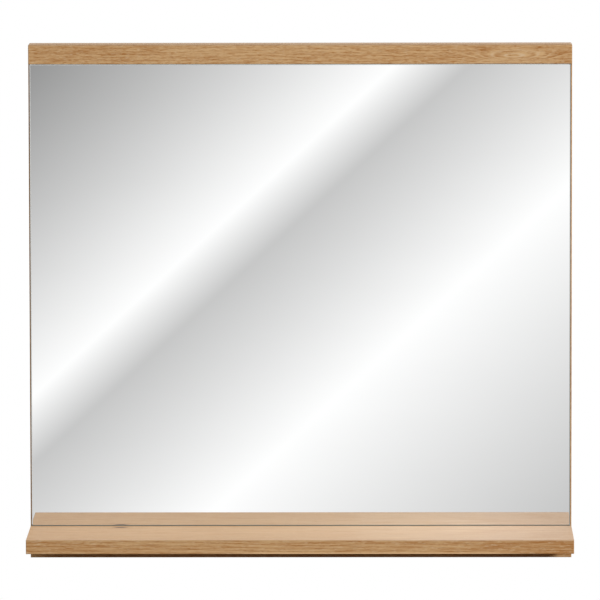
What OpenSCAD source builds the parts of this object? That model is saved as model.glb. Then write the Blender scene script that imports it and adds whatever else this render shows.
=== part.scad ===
// Wall mirror with a shelf: a mirror pane on a carrier board, between two oak rails, with an oak
// shelf fastened to the lower rail. It hangs on two screws in the wall.
//
// The origin is on the wall's surface, midway between the round holes of the two keyhole plates.
// +X is to the right of a person who faces the mirror, +Y goes into the wall and +Z is up.

/* [Overall] */
// Width over the rails and the shelf
unit_w = 700; // [560:10:1000]
// Height from the foot of the bottom rail to the top of the top rail
unit_h = 666; // [500:1:900]
// Distance from the wall to the front of the shelf
unit_d = 160; // [120:5:180]

/* [Oak] */
// Height of the top rail
top_rail_h = 26; // [26:1:40]
// Height of the bottom rail that shows under the shelf
foot_h = 23; // [10:1:40]
// Thickness of the shelf
shelf_t = 18; // [16:1:28]
// Thickness of the lipping on each side of the carrier board
lipping_t = 6; // [4:1:12]
// Radius of the eased long edges
ease_r = 0.5; // [0.3:0.1:2]
// Radius of the upright edges at the ends of the rails and the shelf
end_ease_r = 1; // [0.5:0.1:2]
// Radius of the upper corners of the top rail, as seen from the front
corner_r = 2.5; // [0.5:0.1:4]

/* [Carrier board] */
// Thickness of the carrier board
carrier_t = 18; // [16:1:22]

/* [Mirror] */
// Thickness of the glass
glass_t = 4; // [3:1:5]
// Width of the ground arris round the front of the glass
arris_w = 1.5; // [0.5:0.1:2.5]
// Depth of that arris
arris_depth = 0.6; // [0.3:0.1:1.5]
// Gap between the glass and the top rail
top_gap = 0.1; // [0.1:0.1:3]
// Gap between the glass and the bottom rail
foot_gap = 0.4; // [0.1:0.1:3]
// Width of the oak that shows on each side of the glass
oak_reveal = 1.8; // [0:0.1:4]
// How far the rails stand proud of the glass
rail_proud = 0; // [0:0.5:4]
// Thickness of the tape and of the adhesive
tape_t = 1; // [0.5:0.5:2]
// Width of one strip of tape
tape_w = 25; // [12:1:50]
// Number of strips of tape, with a bead of adhesive midway between each two
tape_count = 5; // [3:1:6]
// Width of one bead of adhesive
bead_w = 10; // [6:1:20]
// Distance from the edge of the glass to the tape and the adhesive
tape_inset = 20; // [10:1:60]

/* [Joints] */
// Number of screws in the shelf, with a dowel midway between each two
shelf_screw_count = 4; // [3:1:5]
// Diameter of the shelf's screws
shelf_screw_d = 5; // [4:0.5:6]
// Length of the shelf's screws
shelf_screw_l = 70; // [60:5:80]
// Distance from the end of the shelf to its outermost screw
end_inset = 60; // [40:5:80]
// Diameter of the dowels
dowel_d = 8; // [6:1:8]
// Length of the dowels
dowel_l = 40; // [30:1:40]

/* [Hangers] */
// Distance between the two hanger plates
hanger_spacing = 500; // [300:10:500]
// Distance from the top of the unit down to the plates' round holes
hanger_drop = 80; // [80:1:160]
// Width of a hanger plate
plate_w = 24; // [22:1:30]
// Height of a hanger plate
plate_h = 66; // [64:1:70]
// Thickness of a hanger plate
plate_t = 2; // [2:0.5:3]
// Diameter of the round hole, which the wall screw's head goes through
entry_d = 11; // [10:0.5:12]
// Width of the slot, which the wall screw's shank rests in
slot_w = 5.5; // [4.5:0.5:6]
// Height of the wall screw's seat over the centre of the round hole
seat_rise = 12; // [10:1:12]
// Depth of the pocket behind a plate for the wall screw's head
pocket_d = 10; // [8:1:12]
// Width of that pocket
pocket_w = 14; // [13:1:16]

/* [Hidden] */
$fn = 64;

// Heights
top_z = hanger_drop;
foot_z = top_z - unit_h;
shelf_under_z = foot_z + foot_h;
shelf_mid_z = shelf_under_z + shelf_t / 2;
lower_joint_z = shelf_under_z + shelf_t; // the top of the shelf and of the bottom rail
upper_joint_z = top_z - top_rail_h; // the underside of the top rail

// Depths from the wall
glass_back = carrier_t + tape_t;
rail_t = glass_back + glass_t + rail_proud;

// Boards and glass, each as width, depth and height
panel_h = upper_joint_z - lower_joint_z;
carrier_size = [unit_w - 2 * lipping_t, carrier_t, panel_h];
lipping_size = [lipping_t, carrier_t, panel_h];
top_rail_size = [unit_w, rail_t, top_rail_h];
bottom_rail_size = [unit_w, rail_t, foot_h + shelf_t];
shelf_size = [unit_w, unit_d - rail_t, shelf_t];
glass_size = [unit_w - 2 * oak_reveal, glass_t, panel_h - top_gap - foot_gap];
glass_foot_z = lower_joint_z + foot_gap;

// Clearances
glue_gap = 0.05;
plate_gap = 0.2;
over = 1; // how far a cut runs past the face that it opens

// Small parts
dowel_r = dowel_d / 2;
dowel_chamfer = 1;
hanger_screw_d = 3.5;
hanger_screw_l = 14;
plate_corner_r = 3;
plate_mid_z = 5;
plate_end_to_screw = 7;

function evenly(count, length) = [for (i = [0:count - 1]) (i / (count - 1) - 0.5) * length];
function midway(places) = [for (i = [1:len(places) - 1]) (places[i - 1] + places[i]) / 2];

// Screws and dowels alternate along the shelf, and the rails' dowels stand between them
screw_x = evenly(shelf_screw_count, unit_w - 2 * end_inset);
shelf_dowel_x = midway(screw_x);
rail_dowel_x = midway(evenly(2 * shelf_screw_count - 1, unit_w - 2 * end_inset));
tape_x = evenly(tape_count, glass_size.x - 2 * tape_inset - tape_w);
bead_x = midway(tape_x);
plate_screw_z = [for (side = [-1, 1]) plate_mid_z + side * (plate_h / 2 - plate_end_to_screw)];

// Corners of a rectangle, each named by the signs of its x and y
ALL_CORNERS = [[-1, -1], [1, -1], [1, 1], [-1, 1]];
FRONT_CORNERS = [[-1, -1], [1, -1]]; // of a rectangle seen from above
UPPER_CORNERS = [[-1, 1], [1, 1]]; // of a rectangle seen from the front

// Rectangle centred on the origin, with the corners in the list rounded to radius r
module eased_rectangle(size, r, corners) {
    difference() {
        square(size, center = true);
        for (c = corners)
            translate([c.x * size.x / 2, c.y * size.y / 2]) difference() {
                square(2 * r, center = true);
                translate([-c.x * r, -c.y * r]) circle(r);
            }
    }
}

// Rectangle centred on the origin, as wide as the glass and as thick, with the arris cut off its
// two lower corners
module glass_section(width) {
    x = width / 2;
    y = glass_t / 2;
    flat_x = x - arris_w;
    arris_y = arris_depth - y;
    polygon([[-x, y], [-x, arris_y], [-flat_x, -y], [flat_x, -y], [x, arris_y], [x, y]]);
}

// The three ways to extrude a flat shape about the origin
module along_x(length) {
    rotate([90, 0, 90]) linear_extrude(length, center = true) children();
}

module along_y(length) {
    rotate([90, 0, 0]) linear_extrude(length, center = true) children();
}

module along_z(length) {
    linear_extrude(length, center = true) children();
}

// Extrudes a flat shape from a given depth out through the wall's plane
module from_back(depth) {
    translate([0, over, 0]) rotate([90, 0, 0]) linear_extrude(depth + over) children();
}

// Moves a solid about the origin to where its back is at one depth and its underside at one height
module place(size, back, bottom, x = 0) {
    translate([x, -back - size.y / 2, bottom + size.z / 2]) children();
}

// Pin along +Z with both ends chamfered
module dowel_pin() {
    tip_r = dowel_r - dowel_chamfer;
    cylinder(h = dowel_chamfer, r1 = tip_r, r2 = dowel_r);
    translate([0, 0, dowel_chamfer]) cylinder(h = dowel_l - 2 * dowel_chamfer, r = dowel_r);
    translate([0, 0, dowel_l - dowel_chamfer]) cylinder(h = dowel_chamfer, r1 = dowel_r, r2 = tip_r);
}

module dowel_hole() {
    translate([0, 0, -glue_gap]) cylinder(h = dowel_l + 2 * glue_gap, r = dowel_r + glue_gap);
}

// Countersunk wood screw that points away from the wall, with its head flush with the wall's plane
// and a cross recess in it. The head is twice as wide as the shank.
module wood_screw(d, length) {
    r = d / 2;
    head_l = d - r;
    tip_l = d;
    tip_r = r / 10;
    recess_depth = 0.4 * d;
    recess_size = [d, d / 4, 2 * recess_depth];
    rotate([90, 0, 0]) difference() {
        union() {
            cylinder(h = head_l, r1 = d, r2 = r);
            translate([0, 0, head_l]) cylinder(h = length - head_l - tip_l, r = r);
            translate([0, 0, length - tip_l]) cylinder(h = tip_l, r1 = r, r2 = tip_r);
        }
        for (turn = [0, 90]) rotate(turn) cube(recess_size, center = true);
    }
}

// Hole and countersink for that screw
module screw_hole(d, length) {
    hole_r = d / 2 + glue_gap;
    head_r = d + glue_gap;
    rotate([90, 0, 0]) {
        translate([0, 0, -over])
            cylinder(h = head_r - hole_r + over, r1 = head_r + over, r2 = hole_r);
        cylinder(h = length + glue_gap, r = hole_r);
    }
}

module at_rail_dowels(joint_z) {
    for (x = rail_dowel_x) translate([x, -carrier_t / 2, joint_z - dowel_l / 2]) children();
}

module at_shelf_dowels() {
    for (x = shelf_dowel_x)
        translate([x, dowel_l / 2 - rail_t, shelf_mid_z]) rotate([90, 0, 0]) children();
}

module at_shelf_screws() {
    for (x = screw_x) translate([x, 0, shelf_mid_z]) children();
}

module at_hanger(side) {
    translate([side * hanger_spacing / 2, 0, 0]) children();
}

module at_hanger_screws(side) {
    at_hanger(side) for (z = plate_screw_z) translate([0, 0, z]) children();
}

// Outline of a hanger plate, or of the recess for it with some room all round
module plate_outline(room = 0) {
    size = [plate_w + 2 * room, plate_h + 2 * room];
    translate([0, plate_mid_z]) eased_rectangle(size, plate_corner_r + room, ALL_CORNERS);
}

// Upright slot with round ends, from the round hole's centre up to the wall screw's seat
module seat_slot(w) {
    for (z = [0, seat_rise]) translate([0, z]) circle(d = w);
    translate([-w / 2, 0]) square([w, seat_rise]);
}

module carrier_board() {
    color("burlywood") difference() {
        place(carrier_size, 0, lower_joint_z) cube(carrier_size, center = true);
        for (joint_z = [lower_joint_z, upper_joint_z]) at_rail_dowels(joint_z) dowel_hole();
        for (side = [-1, 1]) {
            at_hanger(side) from_back(plate_t) plate_outline(plate_gap);
            at_hanger(side) from_back(plate_t + pocket_d) seat_slot(pocket_w);
            at_hanger_screws(side) screw_hole(hanger_screw_d, hanger_screw_l);
        }
    }
}

// Rail with eased upright edges at its front ends and with the long edges in the list eased, each
// named by its corner in the section
module rail(size, bottom, long_edges) {
    place(size, 0, bottom) intersection() {
        along_x(size.x) eased_rectangle([size.y, size.z], ease_r, long_edges);
        along_z(size.z) eased_rectangle([size.x, size.y], end_ease_r, FRONT_CORNERS);
    }
}

module top_rail() {
    size = top_rail_size;
    color("peru") difference() {
        intersection() {
            rail(size, upper_joint_z, [[-1, -1], [-1, 1]]);
            place(size, 0, upper_joint_z)
                along_y(size.y) eased_rectangle([size.x, size.z], corner_r, UPPER_CORNERS);
        }
        at_rail_dowels(upper_joint_z) dowel_hole();
    }
}

module bottom_rail() {
    color("peru") difference() {
        rail(bottom_rail_size, foot_z, [[-1, -1]]);
        at_rail_dowels(lower_joint_z) dowel_hole();
        at_shelf_dowels() dowel_hole();
        at_shelf_screws() screw_hole(shelf_screw_d, shelf_screw_l);
    }
}

module side_lipping(side) {
    color("peru") place(lipping_size, 0, lower_joint_z, side * (unit_w - lipping_t) / 2)
        along_z(panel_h) eased_rectangle([lipping_t, carrier_t], ease_r, [[side, -1]]);
}

module side_lipping_left() {
    side_lipping(-1);
}

module side_lipping_right() {
    side_lipping(1);
}

module mirror_glass() {
    color("gainsboro") place(glass_size, glass_back, glass_foot_z) intersection() {
        along_z(glass_size.z) glass_section(glass_size.x);
        along_x(glass_size.x) rotate(-90) glass_section(glass_size.z);
    }
}

// Upright strips on the front of the carrier board, behind the glass
module strips(places, w) {
    size = [w, tape_t, glass_size.z - 2 * tape_inset];
    for (x = places)
        place(size, carrier_t, glass_foot_z + tape_inset, x) cube(size, center = true);
}

module mirror_tape() {
    color("dimgray") strips(tape_x, tape_w);
}

module mirror_adhesive() {
    color("whitesmoke") strips(bead_x, bead_w);
}

module shelf_board() {
    size = shelf_size;
    color("peru") difference() {
        place(size, rail_t, shelf_under_z) intersection() {
            along_x(size.x) eased_rectangle([size.y, size.z], ease_r, [[-1, -1], [-1, 1]]);
            along_y(size.y) eased_rectangle([size.x, size.z], ease_r, ALL_CORNERS);
            along_z(size.z) eased_rectangle([size.x, size.y], end_ease_r, FRONT_CORNERS);
        }
        at_shelf_dowels() dowel_hole();
        at_shelf_screws() screw_hole(shelf_screw_d, shelf_screw_l);
    }
}

module top_rail_dowels() {
    color("tan") at_rail_dowels(upper_joint_z) dowel_pin();
}

module bottom_rail_dowels() {
    color("tan") at_rail_dowels(lower_joint_z) dowel_pin();
}

module shelf_dowels() {
    color("tan") at_shelf_dowels() dowel_pin();
}

module shelf_screws() {
    color("goldenrod") at_shelf_screws() wood_screw(shelf_screw_d, shelf_screw_l);
}

module hanger_plate(side) {
    color("silver") difference() {
        at_hanger(side) translate([0, -plate_t / 2, 0]) along_y(plate_t) difference() {
            plate_outline();
            circle(d = entry_d);
            seat_slot(slot_w);
        }
        at_hanger_screws(side) screw_hole(hanger_screw_d, hanger_screw_l);
    }
}

module hanger_plate_left() {
    hanger_plate(-1);
}

module hanger_plate_right() {
    hanger_plate(1);
}

module hanger_screws(side) {
    color("goldenrod") at_hanger_screws(side) wood_screw(hanger_screw_d, hanger_screw_l);
}

module hanger_screws_left() {
    hanger_screws(-1);
}

module hanger_screws_right() {
    hanger_screws(1);
}

carrier_board();
top_rail();
bottom_rail();
side_lipping_left();
side_lipping_right();
mirror_glass();
mirror_tape();
mirror_adhesive();
shelf_board();
top_rail_dowels();
bottom_rail_dowels();
shelf_dowels();
shelf_screws();
hanger_plate_left();
hanger_plate_right();
hanger_screws_left();
hanger_screws_right();
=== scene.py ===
import math

import bmesh
import bpy
from mathutils import Matrix, Vector


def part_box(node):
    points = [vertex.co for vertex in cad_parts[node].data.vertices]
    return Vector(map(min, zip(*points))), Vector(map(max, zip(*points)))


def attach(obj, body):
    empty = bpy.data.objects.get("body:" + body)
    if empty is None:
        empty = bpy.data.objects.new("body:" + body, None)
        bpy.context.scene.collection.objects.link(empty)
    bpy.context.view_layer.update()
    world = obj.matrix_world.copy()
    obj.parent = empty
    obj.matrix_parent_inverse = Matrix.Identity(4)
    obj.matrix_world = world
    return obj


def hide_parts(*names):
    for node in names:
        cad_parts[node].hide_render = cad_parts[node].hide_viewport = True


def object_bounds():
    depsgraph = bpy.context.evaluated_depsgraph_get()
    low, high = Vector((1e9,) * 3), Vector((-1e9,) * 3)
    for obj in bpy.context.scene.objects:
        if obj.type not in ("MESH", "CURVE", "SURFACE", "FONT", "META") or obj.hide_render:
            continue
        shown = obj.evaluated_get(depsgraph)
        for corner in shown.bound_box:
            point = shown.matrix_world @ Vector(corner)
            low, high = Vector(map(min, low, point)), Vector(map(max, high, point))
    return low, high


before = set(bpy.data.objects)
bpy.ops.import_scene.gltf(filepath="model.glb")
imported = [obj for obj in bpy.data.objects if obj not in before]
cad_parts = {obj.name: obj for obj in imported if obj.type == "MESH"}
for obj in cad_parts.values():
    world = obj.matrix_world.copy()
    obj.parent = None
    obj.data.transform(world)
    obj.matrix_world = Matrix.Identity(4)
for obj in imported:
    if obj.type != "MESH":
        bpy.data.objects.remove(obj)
cad_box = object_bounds()

MM = 0.001
# Points this close together are one point, or lie on the same side of a piece
SAME_POINT = MM / 1000
SAME_SIDE = MM / 10
# A face looks to the front or the back if more than this share of its normal lies along Y
FLAT = 0.99

# Camera: where it stands, in metres, and how it is turned, in degrees
CAMERA_PLACE = (0.0970, -9.820, 0.7533)
CAMERA_DOWN = 5.853
CAMERA_TURN = 0.571
CAMERA_ROLL = -0.108
CAMERA_LENS_MM = 458.0
CAMERA_REACH = 100.0

# Key lamp, in metres and watts
TOWARDS_KEY = Vector((1.15, -1.0, 1.05)).normalized()
KEY_DISTANCE = 9.0
KEY_WIDTH = 2.6
KEY_WATTS = 790.0

# Soft light from all round. A pair says where it grows from nothing to full, and BACK_TOP where it
# fades again: by the height of the direction that it comes from, or by how far that direction points
# to the fill or to the back.
AMBIENT_BELOW = 0.01
AMBIENT_ABOVE = 0.22
AMBIENT_HEIGHT = (-0.3, 0.7)
TOWARDS_FILL = (-0.7, -0.7, 0.0)
FILL = 1.0
FILL_SIDE = (0.0, 0.9)
FILL_HEIGHT = (0.0, 0.45)
BACK_FILL = 1.7
BACK_SIDE = (0.1, 0.5)
BACK_HEIGHT = (-0.1, 0.0)
BACK_TOP = (0.2, 0.5)

# Floor, in metres: how pale it looks, and how it colours the light that it throws back, from near the
# middle and from further away
FLOOR_DROP = 1.1
FLOOR_WIDTH = 6.0
FLOOR_PALE = (0.90, 0.90, 0.90, 1)
FLOOR_LIT = (0.34, 0.25, 0.16, 1)
FLOOR_DIM = (0.05, 0.028, 0.012, 1)
FLOOR_LIT_RADIUS = (0.6, 1.0)
FLOOR_ROUGHNESS = 0.9

# Bands of light that the mirror shows: the way they run, in the direction of a reflected ray, where
# the first one starts and after how much they repeat. Each stop is a share of that and a display
# brightness.
BAND_TILT = (0.672, 0.0, -0.741)
BAND_START = 0.01824
BAND_PERIOD = 0.1010
BAND_STOPS = [(0.0, 0.526), (0.36, 0.994), (0.4245, 0.77), (0.627, 0.996), (1.0, 0.728)]
# The rest of the room, which the ground edges show: height of the direction and display brightness,
# and where it takes over from the bands as a ray turns away from the front
ROOM_STOPS = [(-1.0, 0.50), (-0.14, 0.93), (-0.06, 0.67), (0.5, 0.80), (1.0, 0.93)]
ROOM_SIDE = (-0.9, -0.75)
DISPLAY_GAMMA = 2.2
MIRROR_WHITE = 1.145

# Pane
ARRIS_MM = 1.5
ARRIS_DEPTH_MM = 0.6
ARRIS_BLEND_MM = 0.1

# Tape. Out to the first share of its half thickness the foam bulges, and from the second on it is film.
TAPE_STRIPS = 5
TAPE_MM = 25.0
TAPE_BULGE_MM = 0.2
TAPE_FOAM = 0.44
TAPE_FILM = 0.76

# Beads of adhesive. Two waves make their edges wander by up to a share of their width.
BEADS = 4
BEAD_MM = 10.0
BEAD_ROWS = 80
BEAD_WANDER = 0.25
BEAD_WAVES_MM = (23.0, 9.0)
BEAD_WAVE_SHIFT = 1.0
BEAD_END_MM = 3.4
# How much of its thickness the side of a bead is rounded by
BEAD_ROUNDING = 0.35

# Dowels
RAIL_DOWELS = 6
SHELF_DOWELS = 3
DOWEL_MM = 8.0
DOWEL_CHAMFER_MM = 1.0
FLUTES = 20
FLUTE_MM = 0.25

# Wood screws
SHELF_SCREWS = 4
SHELF_SCREW_MM = 5.0
SHELF_SCREW_THREAD_MM = 45.0
HANGER_SCREWS = 2
HANGER_SCREW_MM = 3.5
HANGER_SCREW_THREAD_MM = 11.5
SCREW_STEPS = 32
# Their shape, in shares of the thread's diameter. The head is twice as wide as the thread.
SCREW_CORE = 0.62
SCREW_SHANK = 0.75
SCREW_THREAD = 0.98
SCREW_PITCH = 0.55
HEAD_FACE = 1.88
HEAD_RIM = 1.94
HEAD_RIM_DEPTH = 0.02
HEAD_DEPTH = 0.5
SHANK_START = 0.55
RECESS_WIDTH = 0.25
RECESS_DEPTH = 0.4
# The foot of the cross in shares of its mouth, the ridge's foot and stop in pitches, its root in cores,
# and how much of its width a screw loses along its point
RECESS_FOOT = 0.45
THREAD_FOOT = 0.4
THREAD_STOP = 0.3
THREAD_ROOT = 0.9
POINT_TAPER = 0.9

# Keyhole plates. The mouth of a screw hole is measured in heads of its screw, and its foot in mouths.
ENTRY_MM = 11.0
SLOT_MM = 5.5
SLOT_RISE_MM = 12.0
PLATE_CORNER_MM = 3.0
PLATE_EASE_MM = 0.2
HOLE_MOUTH = 1.02
HOLE_FOOT = 0.52
ENTRY_STEPS = 30
SLOT_STEPS = 12
HOLE_STEPS = 24

# Steps of a rounded corner, and up to which angle a surface is shaded smooth
ROUND_STEPS = 6
SMOOTH_DEGREES = 20.0


# --- nodes of a material ----------------------------------

class Graph:
    """The nodes of one material or of the world, and the wires between them."""

    def __init__(self, tree):
        self.tree = tree

    def add(self, kind, **settings):
        node = self.tree.nodes.new(kind)
        for key, value in settings.items():
            setattr(node, key, value)
        return node

    def put(self, value, socket):
        """Wires a value to a socket, or sets it there if it is a plain number, colour or vector."""
        if isinstance(value, bpy.types.NodeSocket):
            self.tree.links.new(value, socket)
        else:
            socket.default_value = value

    def math(self, operation, a, b=0.0, clamp=False):
        node = self.add("ShaderNodeMath", operation=operation, use_clamp=clamp)
        self.put(a, node.inputs[0])
        self.put(b, node.inputs[1])
        return node.outputs[0]

    def plus(self, a, b):
        return self.math("ADD", a, b)

    def minus(self, a, b):
        return self.math("SUBTRACT", a, b)

    def times(self, a, b):
        return self.math("MULTIPLY", a, b)

    def greater(self, a, b):
        return self.math("MAXIMUM", a, b)

    def vector(self, operation, a, b=(0.0, 0.0, 0.0)):
        node = self.add("ShaderNodeVectorMath", operation=operation)
        self.put(a, node.inputs[0])
        self.put(b, node.inputs[1])
        return node.outputs["Value" if operation in ("DOT_PRODUCT", "LENGTH") else "Vector"]

    def turn(self, vector, degrees):
        node = self.add("ShaderNodeMapping")
        self.put(vector, node.inputs["Vector"])
        node.inputs["Rotation"].default_value = [math.radians(a) for a in degrees]
        return node.outputs[0]

    def split(self, vector):
        node = self.add("ShaderNodeSeparateXYZ")
        self.put(vector, node.inputs[0])
        return node.outputs

    def join(self, x, y, z):
        node = self.add("ShaderNodeCombineXYZ")
        for value, socket in zip((x, y, z), node.inputs):
            self.put(value, socket)
        return node.outputs[0]

    def noise(self, vector, size_mm, detail=2.0, roughness=0.5):
        """Noise whose grains have the given sizes along the three axes."""
        node = self.add("ShaderNodeTexNoise")
        self.put(self.vector("DIVIDE", vector, size_mm), node.inputs["Vector"])
        node.inputs["Scale"].default_value = 1.0
        node.inputs["Detail"].default_value = detail
        node.inputs["Roughness"].default_value = roughness
        return node.outputs["Fac"]

    def span(self, value, low, high, to_low, to_high, way="LINEAR"):
        """Stretches the range from low to high over another one, at whose ends it stops."""
        node = self.add("ShaderNodeMapRange", interpolation_type=way)
        self.put(value, node.inputs["Value"])
        for name, number in zip(("From Min", "From Max", "To Min", "To Max"), (low, high, to_low, to_high)):
            node.inputs[name].default_value = number
        return node.outputs["Result"]

    def step(self, value, low, high, top=1.0):
        """0 below low, top above high and a smooth rise between."""
        return self.span(value, low, high, 0.0, top, "SMOOTHSTEP")

    def fade(self, value, low, high):
        """1 below low, 0 above high and a smooth fall between."""
        return self.minus(1.0, self.step(value, low, high))

    def mix(self, share, a, b):
        """Colour a where the share is 0, colour b where it is 1 and a blend between."""
        node = self.add("ShaderNodeMix", data_type="RGBA")
        self.put(share, node.inputs["Factor"])
        self.put(a, node.inputs[6])
        self.put(b, node.inputs[7])
        return node.outputs[2]

    def ramp(self, value, low, high, stops):
        """Brightness from a list of places between low and high and the brightness at each."""
        node = self.add("ShaderNodeValToRGB")
        made = node.color_ramp.elements
        while len(made) < len(stops):
            made.new(0.5)
        for stop, (place, level) in zip(made, stops):
            stop.position = (place - low) / (high - low)
            stop.color = (level, level, level, 1)
        self.put(self.span(value, low, high, 0, 1), node.inputs[0])
        return node.outputs[0]

    def middle(self, values):
        """The middle one of three values."""
        a, b, c = values
        inner = self.math("MINIMUM", self.greater(a, b), c)
        return self.greater(self.math("MINIMUM", a, b), inner)

    def near(self, vector, centre, radii):
        """1 at a centre, falling off in a bell shape over the radii."""
        offset = self.vector("DIVIDE", self.vector("SUBTRACT", vector, centre), radii)
        return self.math("EXPONENT", self.times(self.vector("DOT_PRODUCT", offset, offset), -1.0))

    def gloss_rays(self, path):
        """1 for the rays that mirror, metal and gloss send out."""
        return self.greater(path.outputs["Is Glossy Ray"], path.outputs["Is Transmission Ray"])

    def place_mm(self, centre=(0, 0, 0), degrees=(0, 0, 0)):
        """Object coordinates in millimetres from a centre, turned so that the grain runs along X."""
        here = self.add("ShaderNodeTexCoord").outputs["Object"]
        offset = self.vector("SUBTRACT", here, tuple(centre))
        scaled = self.vector("MULTIPLY", offset, (1 / MM, 1 / MM, 1 / MM))
        return self.turn(scaled, degrees) if any(degrees) else scaled


def srgb(r, g, b):
    """Linear colour from display values of 0 to 255."""
    def linear(v):
        v /= 255
        return v / 12.92 if v <= 0.04045 else ((v + 0.055) / 1.055) ** 2.4
    return (linear(r), linear(g), linear(b), 1.0)


def new_material(name):
    """A new material, its graph and its shader."""
    material = bpy.data.materials.new(name)
    material.use_nodes = True
    shader = material.node_tree.nodes["Principled BSDF"]
    return material, Graph(material.node_tree), shader


def bump(graph, shader, height, strength, depth_mm):
    """Shades a surface as if it had a relief, whose height of 1 stands for a depth."""
    node = graph.add("ShaderNodeBump")
    node.inputs["Strength"].default_value = strength
    node.inputs["Distance"].default_value = depth_mm * MM
    graph.put(height, node.inputs["Height"])
    graph.put(node.outputs["Normal"], shader.inputs["Normal"])


# --- oak --------------------------------------------------

OAK_PALE = srgb(209, 171, 124)
OAK_TAN = srgb(169, 116, 65)
OAK_RAY = srgb(216, 188, 152)
OAK_PORE = srgb(118, 78, 46)
OAK_KNOT = srgb(62, 44, 30)
# Pale oak of worn edges, also used for the painted highlight along the shelf's lower front edge
OAK_EDGE = srgb(236, 196, 148)
# Top of the shelf, from hazy at its left to a pale painted sheen towards its right end, as if lit from the
# right
OAK_PAINTED_SHEEN = srgb(219, 199, 177)
OAK_HAZY = srgb(174, 147, 116)
# Dust and painted sheen along the top rail's upper edge and on its top
OAK_DUST_AND_SHEEN = srgb(180, 157, 135)
OAK_GLOSS = 0.15
OAK_ROUGHNESS = (0.42, 0.60)

# Growth. The porous early wood fades out and sets in again at shares of a ring's width.
RING_MM = 3.1
EARLY_FADES = (0.12, 0.62)
EARLY_SETS_IN = (0.9, 1.0)
YEARS_DIFFER = 0.06
DRIFT_MM = 7.0
RIPPLE_MM = 1.3
KNOT_SWELL_MM = 6.0
# How far from the pith the rays are as wide as they are drawn
RAY_RADIUS_MM = 65.0
# How far apart in the tree two boards lie, and what keeps dashes and flecks from following the streaks
BOARD_SHIFT_MM = (371.0, 53.0, 97.0)
DASH_SHIFT_MM = (0.0, 11.0, 23.0)
FLECK_SHIFT_MM = (0.0, 31.0, 57.0)

# Sizes of what shows in the grain: length and width, or size along the grain and across it
DRIFT_SIZE_MM = (230, 42, 42)
RIPPLE_SIZE_MM = (30, 5)
STREAK_SIZE_MM = (20, 1.4)
DASH_SIZE_MM = (7, 1.2, 1.2)
FLECK_SIZE_MM = (8, 1.1, 1.1)
PORE_SIZE_MM = (9, 0.5)
CLOUD_SIZE_MM = (150, 26, 26)
TOP_FIGURE_SIZE_MM = (70, 10, 10)
KNOT_RIM_SIZE_MM = (2.5, 1.1, 1.1)
END_PORE_SIZE_MM = (0.5, 0.5, 0.5)
END_RAY_SIZE_MM = (16, 0.5, 1.0)

# Where in its noise of 0 to 1 each of them sets in and is full
STREAKS_SHOW = (0.38, 0.66)
DASHES_SHOW = (0.50, 0.66)
FLECKS_SHOW = (0.58, 0.70)
PORES_SHOW = (0.56, 0.68)
CLOUDS_SHOW = (0.3, 0.7)
TOP_FIGURE_SHOWS = (0.38, 0.66)
END_PORES_SHOW = (0.50, 0.60)
END_RAYS_SHOW = (0.60, 0.72)

# How much they darken or tint the oak. EARLY_BETWEEN and LATE_PORES are shares of that, between the
# streaks and in the late wood.
EARLY_DARK = 0.30
EARLY_BETWEEN = 0.35
FIGURE_DARK = 0.82
CLOUDS_DIFFER = 0.10
BULGE_PALE = 0.30
LATE_PORES = 0.25
PORE_TINT = 0.5
FLECK_TINT = 0.45
TOP_FIGURE_TINT = 0.25
END_DARK = (0.35, 0.85)
END_PORE_TINT = 0.6
END_RAY_TINT = 0.4

# Relief: how deep the pores lie, and the early wood in shares of that
PORE_DEPTH_MM = 0.12
EARLY_DEPTH = 0.25

# Wear, and painted light and shade, in mm from the middle of a board along it, and from the nearby edge or
# end across it
EDGE_MM = (0.2, 1.4)
EDGE_WEAR = 0.1
END_MM = (0.5, 0.1)
# Painted sheen on the top: it grows from nothing to full over the first pair, and a share of it is held
# back near the right end over the second
TOP_SHEEN_MM = (-100.0, 300.0)
SHADED_END_MM = (250.0, 330.0)
SHADED_END = 0.25
TOP_MM = (-2.0, -0.4)
# Painted highlight along the lower front edge: where it sets in and is full along the board, and how far up
# from the edge it reaches
LOWER_HIGHLIGHT_MM = (-110.0, -40.0, 240.0, 300.0)
LOWER_HIGHLIGHT_DEPTH_MM = (1.4, 1.9)
# Painted shade: where a board darkens towards its ends, by distance from its middle
PAINTED_SHADE_ENDS_MM = (130.0, 340.0)
# Dust and painted sheen: how far down from the top of a board they reach
DUST_AND_SHEEN_MM = (-3.0, 0.0)

# Pale ring lines where the rings swell: how strong, and where they lie, in shares of a ring's width
OUTLINE = 0.75
OUTLINE_SETS_IN = (0.62, 0.74)
OUTLINE_FADES = (0.80, 0.92)

# Where the rings of the top rail swell towards its face: centre, radii and height of the swelling
RAIL_BULGE = ((277, -12, -4), (56, 14, 9.5), 16.0)
# Knot at the back of the shelf: centre and radii
SHELF_KNOT = ((-233, 55, 9), (9, 4.5, 19))
# Its brown halo and dark heart: where they set in and are full on the way to its centre, and their tint
KNOT_HALO = (0.02, 0.45, 0.45)
KNOT_HEART = (0.30, 0.75, 0.9)
KNOT_RAGGED = 0.35


def worn_edges(g, node):
    """1 along the edges of a board, where hands and cloths have worn the oil thin, and 0 inside."""
    lo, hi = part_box(node)
    inside = g.vector("ABSOLUTE", g.place_mm((lo + hi) / 2))
    depths = g.split(g.vector("SUBTRACT", tuple((hi - lo) / 2 / MM), inside))
    return g.fade(g.middle(list(depths)), *EDGE_MM)


def painted_lower_edge(g, node):
    """1 along the middle of the lower front edge of a board, where a painted highlight makes it paler, as
    if the edge caught light.
    """
    lo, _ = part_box(node)
    x, y, z = g.split(g.place_mm((0, lo.y, lo.z)))
    left, left_full, right_full, right = LOWER_HIGHLIGHT_MM
    middle = g.minus(g.step(x, left, left_full), g.step(x, right_full, right))
    return g.times(middle, g.fade(g.greater(y, z), *LOWER_HIGHLIGHT_DEPTH_MM))


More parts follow.
